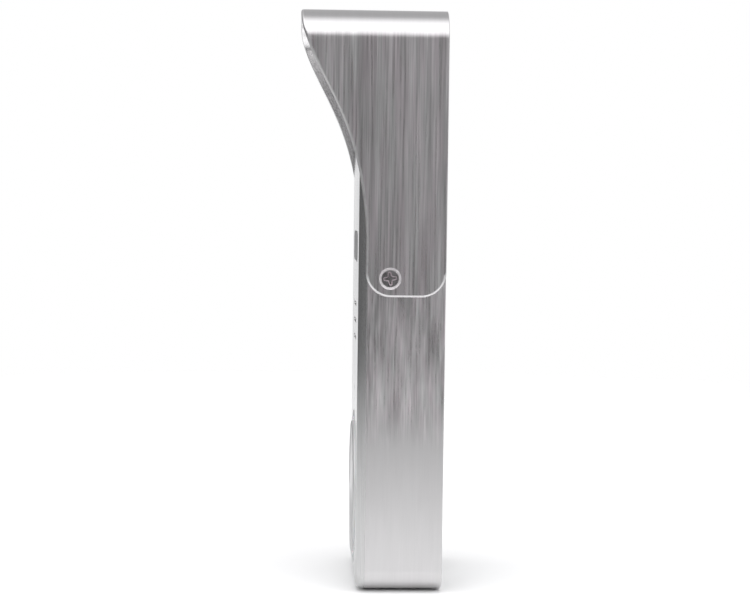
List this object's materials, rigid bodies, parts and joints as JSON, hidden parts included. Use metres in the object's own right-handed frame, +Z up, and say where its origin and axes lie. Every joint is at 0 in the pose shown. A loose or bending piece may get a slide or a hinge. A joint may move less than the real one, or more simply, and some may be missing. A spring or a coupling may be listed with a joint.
{
  "type": "video doorbell",
  "caption": "Slim wall-mounted metal video doorbell: bent rain hood over a camera window, smoked sensor window, speaker slots and a round domed call button.",
  "frame": {"origin": "on the wall plane at the back face of the wall bracket, on the centre line, half way between the hood's top and the body's bottom", "axes": "+Y points into the wall, -Y is the front, +Z is up, +X is across the width (the viewer's right when facing the front)"},
  "size_m": [0.051, 0.037, 0.147],
  "materials": {
    "brushed_hood": "long vertical brushed grain",
    "brushed_case": "short vertical brushed grain",
    "satin_front": "fine satin, smooth edge",
    "button_metal": "spun satin",
    "dark_screw": "dark nickel",
    "zinc_steel": "zinc plated",
    "spring_steel": "drawn wire and thin sheet",
    "black_plastic": "fine moulded texture",
    "grey_plastic": "moulded",
    "rubber": "matt",
    "smoked_window": "polished, smoked",
    "lens": "coated",
    "diffuser": "frosted",
    "circuit_board": "solder mask",
    "pale_ceramic": "smooth",
    "brass": "plated can"
  },
  "bodies": {
    "case": {"board_screw_1": "zinc_steel", "board_screw_2": "zinc_steel", "button_bezel": "button_metal", "button_board": "circuit_board", "button_guide": "black_plastic", "button_led_1": "diffuser", "button_led_2": "diffuser", "button_led_3": "diffuser", "button_led_4": "diffuser", "camera_board": "circuit_board", "camera_gasket": "rubber", "camera_screw_1": "zinc_steel", "camera_screw_2": "zinc_steel", "camera_window": "smoked_window", "case_screw_1": "zinc_steel", "case_screw_2": "zinc_steel", "case_screw_3": "zinc_steel", "case_screw_4": "zinc_steel", "front_panel": "satin_front", "hood_nut_left": "zinc_steel", "hood_nut_right": "zinc_steel", "hood_screw_left": "dark_screw", "hood_screw_right": "dark_screw", "housing_shell": "brushed_case", "image_sensor": "pale_ceramic", "infrared_board": "circuit_board", "infrared_led_1": "diffuser", "infrared_led_2": "diffuser", "infrared_led_3": "diffuser", "infrared_led_4": "diffuser", "infrared_led_5": "diffuser", "infrared_led_6": "diffuser", "lens_barrel": "black_plastic", "lens_glass": "lens", "lens_holder": "black_plastic", "light_baffle": "rubber", "light_ring": "diffuser", "lock_screw": "dark_screw", "main_board": "circuit_board", "microphone": "brass", "microphone_boot": "rubber", "motion_sensor": "zinc_steel", "rain_hood": "brushed_hood", "rear_cover": "black_plastic", "rear_gasket": "rubber", "return_spring": "spring_steel", "sensor_window": "smoked_window", "shield_can": "zinc_steel", "speaker_cone": "black_plastic", "speaker_frame": "spring_steel", "speaker_magnet": "zinc_steel", "speaker_mesh": "spring_steel", "switch_body": "black_plastic", "terminal_block": "grey_plastic", "trimmer_body": "black_plastic", "wall_bracket": "zinc_steel"},
    "call_button": {"button_cap": "button_metal", "button_carrier": "grey_plastic"},
    "switch_stem": {"switch_stem": "pale_ceramic"},
    "volume_rotor": {"trimmer_rotor": "pale_ceramic"}
  },
  "joints": [
    {"name": "call_button_press", "type": "slide", "parent": "case", "child": "call_button", "axis": [0, 1, 0], "range_m": [0, 0.0008], "stiffness_N_per_m": 1500, "springref_m": -0.0006, "deforming": ["return_spring"]},
    {"name": "switch_stem_press", "type": "slide", "parent": "case", "child": "switch_stem", "axis": [0, 1, 0], "range_m": [0, 0.0008]},
    {"name": "volume_turn", "type": "hinge", "parent": "case", "child": "volume_rotor", "pos_m": [0.011, -0.0068, 0.019], "axis": [0, 1, 0], "range_deg": [-135, 135]}
  ],
  "couplings": [
    {"joint": "switch_stem_press", "follows": "call_button_press", "ratio": 1}
  ]
}
